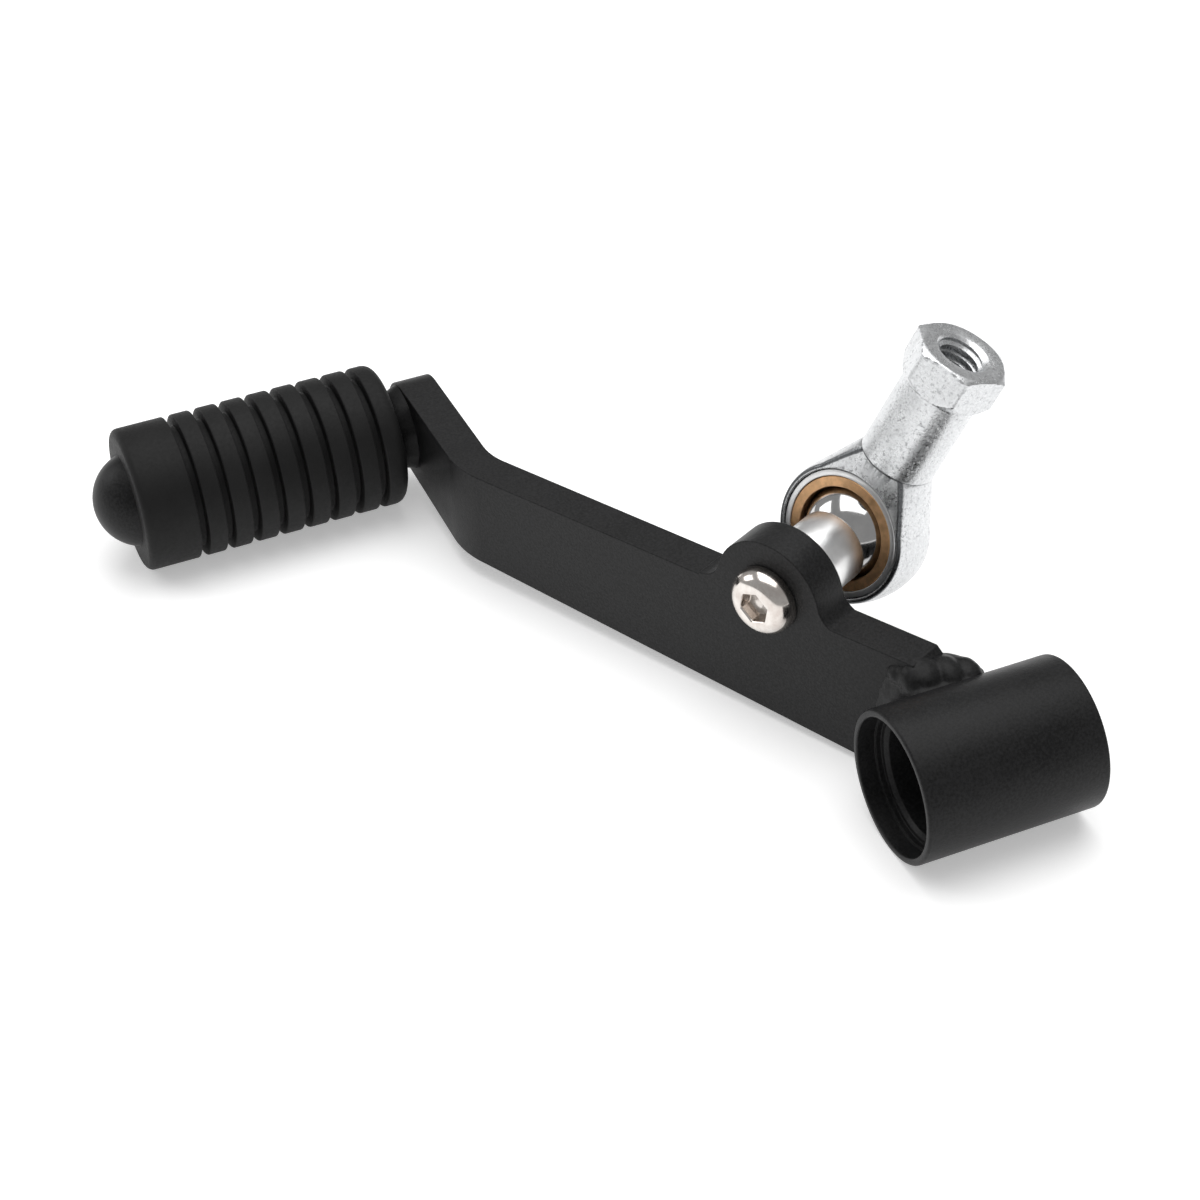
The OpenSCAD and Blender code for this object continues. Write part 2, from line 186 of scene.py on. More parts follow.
def thread_sheet(bm, crest, root, pitch, low, high, place, shape, steps=96):
    """Spins a thread's flank up one turn of helix, stacks the turns and lets shape trim each point."""
    before = set(bm.verts)
    flank = [(crest, 0), (crest, 0.12), (root, 0.44), (root, 0.56), (crest, 0.88), (crest, 1)]
    verts = [bm.verts.new((r * MM, 0, (low + (share - 2) * pitch) * MM)) for r, share in flank]
    edges = [bm.edges.new(pair) for pair in zip(verts, verts[1:])]
    bmesh.ops.spin(
        bm, geom=verts + edges, cent=(0, 0, 0), axis=(0, 0, 1), dvec=(0, 0, pitch * MM / steps),
        angle=TURN, steps=steps, use_merge=False, use_normal_flip=False, use_duplicate=False,
    )
    turn = [v for v in bm.verts if v not in before]
    joined = dict.fromkeys(e for v in turn for e in v.link_edges)
    filled = dict.fromkeys(f for v in turn for f in v.link_faces)
    turn += [*joined, *filled]
    for k in range(1, math.ceil((high - low) / pitch) + 3):
        copy = bmesh.ops.duplicate(bm, geom=turn)["geom"]
        copied = [v for v in copy if isinstance(v, bmesh.types.BMVert)]
        bmesh.ops.translate(bm, vec=(0, 0, k * pitch * MM), verts=copied)
    made = [v for v in bm.verts if v not in before]
    bmesh.ops.remove_doubles(bm, verts=made, dist=4e-6)
    made = [v for v in bm.verts if v not in before]
    for v in made:
        radius, angle = math.hypot(v.co.x, v.co.y), math.atan2(v.co.y, v.co.x)
        new_radius, height = shape(radius / MM, min(max(v.co.z / MM, low), high))
        v.co = Vector((new_radius * math.cos(angle), new_radius * math.sin(angle), height)) * MM
    bmesh.ops.remove_doubles(bm, verts=made, dist=4e-6)
    made = [v for v in bm.verts if v not in before]
    bmesh.ops.transform(bm, matrix=place, verts=made)
    return made


def cad_copy(node):
    """A merged copy of a solid's mesh, with its flat faces whole again."""
    bm = bmesh.new()
    bm.from_mesh(frame["nodes"][node].data)
    bmesh.ops.remove_doubles(bm, verts=bm.verts, dist=2e-6)
    bmesh.ops.dissolve_limit(
        bm, angle_limit=math.radians(0.3), verts=bm.verts, edges=bm.edges, delimit=set(),
        use_dissolve_boundaries=False,
    )
    return bm


def finish_piece(bm, name, node, material, sharp=40, weighted=False):
    """Turns a bmesh into the piece that stands for a solid node."""
    bmesh.ops.recalc_face_normals(bm, faces=bm.faces)
    mesh = bpy.data.meshes.new(name)
    bm.to_mesh(mesh)
    bm.free()
    mesh.polygons.foreach_set("use_smooth", [True] * len(mesh.polygons))
    mesh.set_sharp_from_angle(angle=math.radians(sharp))
    mesh.materials.append(material)
    piece = bpy.data.objects.new(name, mesh)
    bpy.context.scene.collection.objects.link(piece)
    if weighted:
        even = piece.modifiers.new("Even shading", "WEIGHTED_NORMAL")
        even.keep_sharp = True
    body = next(b for b, nodes in frame["record"]["behaviour"]["bodies"].items() if node in nodes)
    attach(piece, body)
    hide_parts(node)
    return piece


def remeshed(bm, voxel, smoothing):
    """Melts overlapping shapes into one skin and smooths it, and returns it as a new bmesh."""
    mesh = bpy.data.meshes.new("melt")
    bm.to_mesh(mesh)
    bm.free()
    helper = bpy.data.objects.new("melt", mesh)
    bpy.context.scene.collection.objects.link(helper)
    remesh = helper.modifiers.new("Remesh", "REMESH")
    remesh.mode = "VOXEL"
    remesh.voxel_size = voxel * MM
    smooth = helper.modifiers.new("Smooth", "SMOOTH")
    smooth.factor = 0.5
    smooth.iterations = smoothing
    graph = bpy.context.evaluated_depsgraph_get()
    melted = bmesh.new()
    melted.from_object(helper, graph)
    bpy.data.objects.remove(helper)
    return melted


# Materials


class Value:
    """A socket or a number that ordinary operators combine into Math nodes."""

    def __init__(self, paint, socket):
        self.paint = paint
        self.socket = socket

    def _math(self, operation, *values):
        return self.paint.node("ShaderNodeMath", {"operation": operation}, *values)

    def __add__(self, other):
        return self._math("ADD", self, other)

    def __sub__(self, other):
        return self._math("SUBTRACT", self, other)

    def __mul__(self, other):
        return self._math("MULTIPLY", self, other)

    __radd__ = __add__
    __rmul__ = __mul__


class Paint:
    """A material being mixed for one of the lever's finishes."""

    def __init__(self, name):
        self.material = bpy.data.materials.new(name)
        self.material.use_nodes = True
        self.tree = self.material.node_tree
        self.shader = self.tree.nodes["Principled BSDF"]
        coordinates = self.tree.nodes.new("ShaderNodeTexCoord")
        self.position = Value(self, coordinates.outputs["Object"])

    def node(self, kind, settings, *values, output=0, **named):
        """Adds any node: its settings first, then its sockets by order or by name."""
        made = self.tree.nodes.new(kind)
        for key, value in settings.items():
            setattr(made, key, value)
        for where, value in [*enumerate(values), *named.items()]:
            socket = made.inputs[where.replace("_", " ") if isinstance(where, str) else where]
            self.feed(socket, value)
        return Value(self, made.outputs[output])

    def feed(self, socket, value):
        if isinstance(value, Value):
            self.tree.links.new(value.socket, socket)
        elif socket.type == "RGBA" and len(value) == 3:
            socket.default_value = (*value, 1)
        else:
            socket.default_value = value

    def grain(self, scale, detail=2.0, roughness=0.5, at=None):
        """Noise from 0 to 1 whose grains are about 1/scale millimetres wide."""
        return self.node(
            "ShaderNodeTexNoise", {}, output="Fac", Vector=at or self.position,
            Scale=scale * 1000.0, Detail=detail, Roughness=roughness,
        )

    def aligned(self, place, stretch=(1, 1, 1)):
        """Object coordinates seen from a place on the lever, stretched along its axes."""
        scale = tuple(1 / s for s in stretch)
        local = self.node(
            "ShaderNodeMapping", {"vector_type": "TEXTURE"}, Vector=self.position,
            Location=place.to_translation(), Rotation=place.to_euler(),
        )
        return self.node("ShaderNodeMapping", {"vector_type": "POINT"}, Vector=local, Scale=scale)

    def span(self, value, low, high, to_low=0.0, to_high=1.0):
        """Moves a value from one range to another and holds it there."""
        return self.node(
            "ShaderNodeMapRange", {"clamp": True}, output="Result", Value=value,
            From_Min=low, From_Max=high, To_Min=to_low, To_Max=to_high,
        )

    def mix(self, factor, first, second):
        """Blends two colours."""
        made = self.tree.nodes.new("ShaderNodeMix")
        made.data_type = "RGBA"
        self.feed(made.inputs[0], factor)
        self.feed(made.inputs[6], first)
        self.feed(made.inputs[7], second)
        return Value(self, made.outputs[2])

    def bump(self, height, strength, distance):
        """Turns a height into a surface normal. The distance is in millimetres."""
        distance *= MM
        return self.node("ShaderNodeBump", {}, Height=height, Strength=strength, Distance=distance)

    def done(self, **sockets):
        for name, value in sockets.items():
            self.feed(self.shader.inputs[name.replace("_", " ")], value)
        return self.material


def lever_look():
    return bpy.context.scene.lever_finish


def shaded(colour, share):
    """The same colour, lighter or darker."""
    return tuple(c * share for c in colour)


def coat_paint(name, lift=1.0, grain=1.0):
    """Satin black coat with a fine grain, a little lighter where it is rubbed."""
    paint = Paint(name)
    look = lever_look()
    fine = paint.grain(2.2, 3, 0.7)
    cloudy = paint.grain(0.09, 3, 0.6)
    dark = shaded(look.coat_color, lift * 0.75)
    pale = shaded(look.coat_color, lift * 1.75)
    colour = paint.mix(paint.span(fine + (cloudy - 0.5) * 0.35, 0.38, 0.62), dark, pale)
    wear = fine * 0.4 + cloudy * 0.6
    rough = paint.span(wear, 0.35, 0.65, look.coat_roughness - 0.05, look.coat_roughness + 0.07)
    normal = paint.bump(fine, 0.6 * grain, 0.07)
    return paint.done(Base_Color=colour, Roughness=rough, Normal=normal, Specular_IOR_Level=0.17)


def rubber_paint():
    """Matte moulded rubber with a trace of dust in its skin."""
    paint = Paint("Peg rubber")
    look = lever_look()
    skin = paint.grain(1.6, 4, 0.65)
    cloudy = paint.grain(0.12, 3, 0.6)
    dusty = shaded(look.rubber_color, 1.5)
    colour = paint.mix(paint.span(cloudy, 0.35, 0.7), look.rubber_color, dusty)
    rough = paint.span(skin, 0.3, 0.7, 0.52, 0.66)
    normal = paint.bump(skin, 0.3, 0.08)
    return paint.done(Base_Color=colour, Roughness=rough, Normal=normal, Specular_IOR_Level=0.18)


def nickel_paint():
    """Bright nickel with a warm cast and the faint rings of forming."""
    paint = Paint("Nickel screw")
    haze = paint.grain(0.5, 3, 0.6)
    fine = paint.grain(6.0, 2, 0.5)
    colour = paint.mix(paint.span(haze, 0.35, 0.7), lever_look().nickel_color, (0.6, 0.54, 0.5))
    rough = paint.span(haze * 0.6 + fine * 0.4, 0.3, 0.7, 0.12, 0.22)
    normal = paint.bump(fine, 0.05, 0.02)
    return paint.done(Base_Color=colour, Metallic=1.0, Roughness=rough, Normal=normal)


def turned_paint(name, colour, place, low, high, depth):
    """Turned steel: rings round the place's axis too fine to count."""
    paint = Paint(name)
    rings = paint.grain(1.0, 3, 0.6, at=paint.aligned(place, (40, 40, 0.12)))
    haze = paint.grain(0.7, 2, 0.5)
    tint = paint.mix(paint.span(haze, 0.35, 0.7), colour, shaded(colour, 0.92))
    rough = paint.span(rings, 0.3, 0.7, low, high)
    normal = paint.bump(rings, depth, 0.02)
    return paint.done(Base_Color=tint, Metallic=1.0, Roughness=rough, Normal=normal)


def chrome_paint():
    """Mirror-polished ball with faint wiping marks."""
    paint = Paint("Ball chrome")
    haze = paint.grain(0.35, 3, 0.6)
    colour = paint.mix(paint.span(haze, 0.35, 0.7), lever_look().chrome_color, (0.5, 0.5, 0.5))
    rough = paint.span(haze, 0.3, 0.7, 0.07, 0.14)
    return paint.done(Base_Color=colour, Metallic=1.0, Roughness=rough)


def bronze_paint():
    """Sintered bronze: small pores and warm, uneven colour."""
    paint = Paint("Liner bronze")
    pores = paint.grain(5.0, 3, 0.7)
    warm = paint.grain(0.6, 3, 0.6)
    look = lever_look()
    brown = shaded(look.bronze_color, 0.7)
    colour = paint.mix(paint.span(warm, 0.35, 0.65), look.bronze_color, brown)
    rough = paint.span(pores, 0.3, 0.7, 0.28, 0.42)
    normal = paint.bump(pores, 0.25, 0.03)
    return paint.done(Base_Color=colour, Metallic=0.9, Roughness=rough, Normal=normal)


def zinc_paint(name, place, grain=1.0, shade_edges=False):
    """Bright zinc over forged steel: a fine speckle, and where asked, painted shade and painted
    reflection along edges and recesses, partly dark plating residue.
    """
    paint = Paint(name)
    look = lever_look()
    speckle = paint.grain(2.4, 3, 0.75)
    broad = paint.grain(0.3, 3, 0.6, at=paint.aligned(place, (1, 1, 2.0)))
    pits = paint.span(paint.grain(1.6, 4, 0.75), 0.56, 0.66)
    shade = paint.span(speckle, 0.36, 0.62)
    bright = paint.mix(shade, shaded(look.zinc_color, 0.78), look.zinc_color)
    colour = paint.mix(pits * 0.45, bright, (0.2, 0.21, 0.22))
    if shade_edges:
        # Painted shade and painted reflection: darker along edges and in recesses, read from a vertex
        # attribute, partly dark plating residue.
        line = paint.node("ShaderNodeAttribute", {"attribute_name": EDGE_SHADE}, output="Fac")
        edge_shade_mix = paint.span(line + (speckle - 0.5) * 0.9, 0.3, 0.8, 0.0, 0.85)
        colour = paint.mix(edge_shade_mix, colour, (0.06, 0.065, 0.07))
    rough = paint.span(speckle * 0.5 + broad * 0.5, 0.36, 0.64, 0.22, 0.36)
    normal = paint.bump(speckle * 1.2 + broad * 0.5 - pits * 0.6, 0.5 * grain, 0.06)
    return paint.done(Base_Color=colour, Metallic=1.0, Roughness=rough, Normal=normal)


def nylon_paint():
    paint = Paint("Insert nylon")
    cloud = paint.grain(0.8, 2, 0.5)
    colour = paint.mix(paint.span(cloud, 0.35, 0.65), (0.05, 0.13, 0.35), (0.035, 0.1, 0.28))
    return paint.done(Base_Color=colour, Roughness=paint.span(cloud, 0.3, 0.7, 0.35, 0.5))


# What a user can change


class LeverSizes(bpy.types.PropertyGroup):
    arm_edge: FloatProperty(
        name="Arm Edge", description="Rounding of the arm's edges", default=0.00045, unit="LENGTH",
    )
    groove_edge: FloatProperty(
        name="Groove Edge", description="Rounding of the rubber's grooves",
        default=0.0003, unit="LENGTH",
    )
    weld_voxel: FloatProperty(
        name="Weld Detail", description="Smallest detail kept in the welds",
        default=0.00024, unit="LENGTH",
    )
    weld_smoothing: IntProperty(
        name="Weld Smoothing", description="Passes that smooth the welds", default=24, min=0,
    )
    rod_pitch: FloatProperty(
        name="Rod Thread Pitch", description="Pitch of the thread in the rod end",
        default=0.00125, unit="LENGTH",
    )
    screw_pitch: FloatProperty(
        name="Screw Thread Pitch", description="Pitch of the clamping screw's thread",
        default=0.001, unit="LENGTH",
    )


class LeverFinish(bpy.types.PropertyGroup):
    coat_color: FloatVectorProperty(
        name="Coat", description="Colour of the black coat",
        subtype="COLOR", default=(0.0098, 0.0098, 0.0101),
    )
    coat_roughness: FloatProperty(
        name="Coat Roughness", description="How dull the black coat is",
        default=0.42, min=0, max=1,
    )
    rubber_color: FloatVectorProperty(
        name="Rubber", description="Colour of the peg's rubber",
        subtype="COLOR", default=(0.008, 0.008, 0.008),
    )
    nickel_color: FloatVectorProperty(
        name="Nickel", description="Colour of the clamping screw",
        subtype="COLOR", default=(0.76, 0.72, 0.68),
    )
    chrome_color: FloatVectorProperty(
        name="Chrome", description="Colour of the ball",
        subtype="COLOR", default=(0.58, 0.575, 0.57),
    )
    bronze_color: FloatVectorProperty(
        name="Bronze", description="Colour of the bearing liner",
        subtype="COLOR", default=(0.8, 0.48, 0.25),
    )
    zinc_color: FloatVectorProperty(
        name="Zinc", description="Colour of the rod end's plating",
        subtype="COLOR", default=(0.74, 0.75, 0.76),
    )
    floor_color: FloatVectorProperty(
        name="Floor", description="Colour of the floor",
        subtype="COLOR", default=(0.92, 0.92, 0.92),
    )


# Pieces


class LEVER_OT_arm(bpy.types.Operator):
    """Add the flat arm with its lug, bend and tip"""

    bl_idname = "lever.arm"
    bl_label = "Arm"

    def execute(self, context):
        bm = cad_copy("arm")
        corners = []
        for edge in bm.edges:
            if len(edge.link_faces) != 2 or edge.calc_face_angle() < math.radians(28):
                continue
            middle = (edge.verts[0].co + edge.verts[1].co) / 2
            if math.hypot(middle.x, middle.z) > (TUBE_RADIUS + 0.3) * MM or abs(middle.z) > 9 * MM:
                corners.append(edge)
        bmesh.ops.bevel(
            bm, geom=corners, offset=context.scene.lever_sizes.arm_edge, offset_type="OFFSET",
            segments=3, profile=0.5, affect="EDGES", clamp_overlap=True, material=-1,
        )
        finish_piece(bm, "lever_arm", "arm", coat_paint("Arm coat"), weighted=True)
        return {"FINISHED"}


class LEVER_OT_tube(bpy.types.Operator):
    """Add the pivot tube with its stepped mouths"""

    bl_idname = "lever.tube"
    bl_label = "Pivot Tube"

    def execute(self, context):
        mouth = [
            (9.6, 11.1, 0.1), (10.4, 11.1, 0.15), (10.4, 12, 0.1), (10.8, 12, 0.12),
            (10.8, TUBE_HALF, 0.25), (TUBE_RADIUS, TUBE_HALF, 0.45),
        ]
        near = [(r, -h, c) for r, h, c in reversed(mouth)]
        outline = [(9, -10.5, 0.2), (9, 10.5, 0.2), *mouth, *near]
        bm = bmesh.new()
        lathe(bm, soften(outline, 4), TUBE, steps=160)
        finish_piece(bm, "pivot_tube_turned", "pivot_tube", coat_paint("Tube coat", 0.9), sharp=50)
        return {"FINISHED"}


class LEVER_OT_welds(bpy.types.Operator):
    """Add the welds at the pivot tube and at the peg"""

    bl_idname = "lever.welds"
    bl_label = "Welds"

    def melt(self, bm, sizes, ripple):
        skin = remeshed(bm, sizes.weld_voxel / MM, sizes.weld_smoothing)
        skin.normal_update()
        for v in skin.verts:
            v.co += v.normal * noise.fractal(v.co * 500, 0.8, 2.2, 2) * ripple * MM
        return skin

    def flank(self, bm):
        """The hollow flank in front, between the arm's face and the tube."""
        rings = []
        for z in (-9, -7.5, -5, -2, 1, 4, 6.5, 8.2, 9.4):
            tube = -math.sqrt(TUBE_RADIUS**2 - z * z)
            toe = ARM @ Vector((-(19.4 - max(0, z) ** 2 * 0.034), -0.02, 0))
            low = Vector((tube + 0.2, -10.9 + max(0.0, z - 4) * 0.75))
            sag = Vector((tube - 0.5, toe.y + 1.7))
            curve = []
            for k in range(13):
                t = k / 12
                point = toe.xy * (1 - t) ** 2 + sag * 2 * t * (1 - t) + low * t * t
                curve.append((point.x, point.y, z))
            back = [(tube + 1.3, low.y + 0.6, z), (tube + 1.3, 2, z)]
            back += [(-11.6, 1.0, z), (toe.x + 0.5, toe.y + 1.2, z)]
            rings.append(curve + back)
        loft(bm, rings, Matrix.Identity(4), close_start=True, close_end=True)

    def mound(self, bm, centre, tilt, reach, width, thick):
        """One puddle of weld, longest across the seam."""
        place = moved(*centre) @ turned(tilt, "Y") @ Matrix.Diagonal((reach, width, thick, 1))
        bmesh.ops.create_icosphere(bm, subdivisions=4, radius=MM, matrix=place)

    def ring(self, bm):
        """The low fillet of weld round the peg's pin, with soft ripples."""
        profile = [(5.9, -3.1), (6.25, -3.0), (6.6, -2.4), (6.9, -1.5), (7.2, -0.7), (7.4, 0.05)]
        profile.append((5.9, 0.05))
        made = lathe(bm, profile, Matrix.Identity(4), steps=144)
        for v in made:
            angle = math.atan2(v.co.y, v.co.x)
            out = max(0.0, math.hypot(v.co.x, v.co.y) / MM - 6.1)
            lump = math.exp(-((math.remainder(angle + TURN * 0.28, TURN) / 0.42) ** 2))
            ripple = math.sin(9 * angle + 1.3 * math.sin(2 * angle))
            swell = 1 + out * (0.012 * ripple + 0.05 * lump)
            v.co.x *= swell
            v.co.y *= swell
        bmesh.ops.transform(bm, matrix=PEG, verts=made)

    def execute(self, context):
        sizes = context.scene.lever_sizes
        bm = bmesh.new()
        self.flank(bm)
        puddles = [
            ((-13.9, -6.0, 8.6), 0, 2.2, 2.3, 1.8), ((-11.4, -4.2, 8.9), 10, 3.9, 3.4, 2.75),
            ((-10.2, -0.4, 8.8), 12, 3.6, 2.5, 2.4), ((-9.3, 2.5, 8.4), 16, 3.2, 2.3, 2.1),
            ((-11.2, -1.4, 8.6), 8, 3.6, 5.4, 2.1),
        ]
        for centre, tilt, reach, width, thick in puddles:
            self.mound(bm, centre, tilt, reach, width, thick)
            below = (centre[0], centre[1] + 0.8, -centre[2])
            self.mound(bm, below, -tilt, reach, width, thick * 0.85)
        for k in range(8):
            height = 6.8 - 13.6 * k / 7
            across = -math.sqrt(TUBE_RADIUS**2 - height * height) - 0.5
            self.mound(bm, (across, 3.3 + 0.2 * math.sin(2.3 * k), height), 90, 1.6, 2.9, 1.9)
        coat = coat_paint("Weld coat", 0.85, 0.7)
        finish_piece(self.melt(bm, sizes, 0.09), "pivot_weld_bead", "pivot_weld", coat, sharp=180)

        bm = bmesh.new()
        self.ring(bm)
        # The 0.45 lift darkens this coat as painted shade, for the shadowed gap between the rubber and
        # the arm's tip.
        coat = coat_paint("Peg weld coat in painted shade", 0.45, 0.7)
        finish_piece(bm, "peg_weld_bead", "peg_weld", coat, sharp=60)
        return {"FINISHED"}


class LEVER_OT_peg(bpy.types.Operator):
    """Add the toe peg: its domed pin and its ribbed rubber"""

    bl_idname = "lever.peg"
    bl_label = "Toe Peg"

    def execute(self, context):
        near = -RUBBER_SHIFT - RUBBER_LENGTH
        round_off = (DOME_RADIUS**2 + DOME_HEIGHT**2) / (2 * DOME_HEIGHT)
        swing = math.degrees(math.asin(DOME_RADIUS / round_off))
        dome = arc(0, near - DOME_HEIGHT + round_off, round_off, -90, -90 + swing, 24)
        pin = [(6, near, 0), (6, 0, 0), (4, 0, 0), (4, PLATE, 0.4), (0, PLATE, 0)]
        pin = soften(pin, closed=False)
        bm = bmesh.new()
        lathe(bm, [*dome, *pin], PEG, closed=False)
        finish_piece(bm, "peg_pin_domed", "peg_pin", coat_paint("Pin coat", 0.9, 0.6), sharp=35)

        edge = context.scene.lever_sizes.groove_edge / MM
        outer = [(RUBBER_RADIUS, near, 1.2)]
        for k in range(GROOVES):
            low = near + FIRST_GROOVE + GROOVE_PITCH * k
            high = low + GROOVE_WIDTH
            outer += [(RUBBER_RADIUS, low, edge), (GROOVE_RADIUS, low, 0.3)]
            outer += [(GROOVE_RADIUS, high, 0.3), (RUBBER_RADIUS, high, edge)]
        end = 0.6 - RUBBER_SHIFT
        outer += [(RUBBER_RADIUS, end, 1.8), (RUBBER_BORE, end, 0.3), (RUBBER_BORE, near, 0)]
        bm = bmesh.new()
        lathe(bm, soften(outer, 5), PEG, steps=144)
        finish_piece(bm, "peg_rubber_ribbed", "peg_rubber", rubber_paint(), sharp=50)
        return {"FINISHED"}


class LEVER_OT_clamp(bpy.types.Operator):
    """Add the screw that clamps the ball, with its spacer, washer and nut"""

    bl_idname = "lever.clamp"
    bl_label = "Clamping Screw"

    def screw(self, sizes):
        around = [TURN * k / 96 for k in range(96)]

        def ring(radius, height):
            return [(radius * math.cos(a), radius * math.sin(a), height) for a in around]

        def socket(flats, height, corner):
            swings = [(a - TURN / 9) % SIXTH - SIXTH / 2 for a in around]
            reach = [min(flats / 2 / math.cos(swing), corner) for swing in swings]
            return [(r * math.cos(a), r * math.sin(a), height) for r, a in zip(reach, around)]

        crown = arc(0, 0, 1, 2, 86, 14)
        rings = [ring(3.0, 0), ring(5.4, 0), ring(5.6, -0.2), ring(5.6, -0.7)]
        rings += [ring(3.15 + 2.45 * c, -0.75 - 2.85 * s) for c, s in crown]
        rings += [ring(2.95, -3.6), socket(4.95, -3.56, 2.8), socket(4.7, -3.4, 2.62)]
        rings += [socket(4.6, -3.2, 2.58), socket(4.6, -1.35, 2.58)]
        rings += [ring(1.5, -1.1), ring(0.4, -0.75)]
        bm = bmesh.new()
        loft(bm, list(reversed(rings)), SCREW, close_start=True)

        shank = 3.0
        plain = 19.0

        def shape(radius, height):
            end = shank - max(0.0, height - SCREW_LENGTH + 0.7) * 0.9
            start = height - plain
            if start <= 0.002:
                return shank, height
            if height >= SCREW_LENGTH - 0.002:
                return 2.35, height
            return min(radius + max(0.0, 0.5 - start) * 0.5, end, shank), height

        pitch = sizes.screw_pitch / MM
        thread_sheet(bm, 2.98, 2.4, pitch, plain, SCREW_LENGTH, SCREW, shape)
        lathe(bm, [(shank, 0), (shank, plain)], SCREW, closed=False, steps=96)
        bmesh.ops.remove_doubles(bm, verts=bm.verts, dist=6e-6)
        bmesh.ops.holes_fill(bm, edges=[e for e in bm.edges if e.is_boundary], sides=0)
        return bm

    def nut(self):
        around = [TURN * k / 120 for k in range(120)]

        def hexagon(cap, height):
            reach = [min(5 / math.cos(a % SIXTH - SIXTH / 2), cap) for a in around]
            return [(r * math.cos(a), r * math.sin(a), height) for r, a in zip(reach, around)]

        rings = [hexagon(3.05, 0), hexagon(4.85, 0)]
        rings += [hexagon(4.85 + 0.9 * k / 4, 0.42 * k / 4) for k in range(1, 5)]
        rings += [hexagon(5.72 - 0.72 * k / 5, 4.1 + 0.7 * k / 5) for k in range(6)]
        rings += [hexagon(4.7, 4.85), hexagon(4.7, 5.6), hexagon(4.45, 5.9), hexagon(4.1, 6)]
        rings += [hexagon(3.95, 5.9), hexagon(3.95, 5.7), hexagon(3.05, 5.7), hexagon(3.05, 0)]
        bm = bmesh.new()
        loft(bm, rings, SCREW @ moved(0, 0, 30.35))
        bmesh.ops.remove_doubles(bm, verts=bm.verts, dist=2e-6)
        return bm

    def execute(self, context):
        sizes = context.scene.lever_sizes
        finish_piece(self.screw(sizes), "clamp_screw", "lever_screw", nickel_paint(), sharp=32)

        back = PLATE + SPACER_LENGTH
        outline = [
            (3.15, PLATE, 0.2), (6.1, PLATE, 0.3), (6.1, back, 0.12), (3.95, back, 0.1),
            (3.95, back + 11.7, 0.3), (3.15, back + 11.7, 0.2),
        ]
        bm = bmesh.new()
        lathe(bm, soften(outline, 3), SCREW)
        spacer = turned_paint("Polished spacer", (0.88, 0.88, 0.875), SCREW, 0.28, 0.34, 0.04)
        finish_piece(bm, "spacer_turned", "spacer", spacer)

        washer = [(3.15, 28.75, 0.15), (6, 28.75, 0.3), (6, 30.35, 0.3), (3.15, 30.35, 0.15)]
        bm = bmesh.new()
        lathe(bm, soften(washer, 3), SCREW, steps=96)
        finish_piece(bm, "washer_pressed", "washer", zinc_paint("Washer zinc", SCREW, 0.5))

        zinc = zinc_paint("Nut zinc", SCREW, 0.5)
        finish_piece(self.nut(), "lock_nut_hex", "lock_nut", zinc, sharp=24)

        insert = [(3.05, 34.1, 0.1), (4.1, 34.1, 0.1), (4.1, 36.0, 0.1), (3.05, 36.0, 0.3)]
        bm = bmesh.new()
        lathe(bm, soften(insert, 3), SCREW, steps=96)
        finish_piece(bm, "nut_insert_ring", "nut_insert", nylon_paint())
        return {"FINISHED"}


class LEVER_OT_bearing(bpy.types.Operator):
    """Add the ball, its bronze liner and the race that holds them"""

    bl_idname = "lever.bearing"
    bl_label = "Ball and Bearing"

    def execute(self, context):
        centre = SCREW @ moved(0, 0, BALL_PLACE)
        ball_radius = 7.95
        edge = math.degrees(math.asin((BALL_HALF - 0.1) / ball_radius))
        near = [(4.0, 0.15 - BALL_HALF), (4.15, -BALL_HALF), (5.1, -BALL_HALF)]
        far = [(r, -h) for r, h in reversed(near)]
        bm = bmesh.new()
        lathe(bm, [*near, *arc(0, 0, ball_radius, -edge, edge, 48), *far], centre, steps=160)
        finish_piece(bm, "ball_polished", "ball", chrome_paint(), sharp=30)

        bore_radius = 8.03
        rim = math.degrees(math.asin(2.7 / bore_radius))
        bore = arc(0, 0, bore_radius, -rim, rim, 32)
        near = [(9.35, -4.1), (9.25, -4.2), (7.78, -4.2), (7.68, -4.1)]
        outline = [*near, *bore, *((r, -h) for r, h in reversed(near))]
        bm = bmesh.new()
        lathe(bm, outline, RING, steps=144)
        finish_piece(bm, "liner_bush", "liner", bronze_paint(), sharp=35)

        race = [(9.43, -4.3, 0.12), (10.45, -4.3, 0.25), (10.45, 4.3, 0.25), (9.43, 4.3, 0.12)]
        bm = bmesh.new()
        lathe(bm, soften(race, 3), RING, steps=144)
        steel = turned_paint("Race steel", (0.9, 0.9, 0.9), RING, 0.3, 0.42, 0.1)
        finish_piece(bm, "race_ring_pressed", "race_ring", steel)
        return {"FINISHED"}


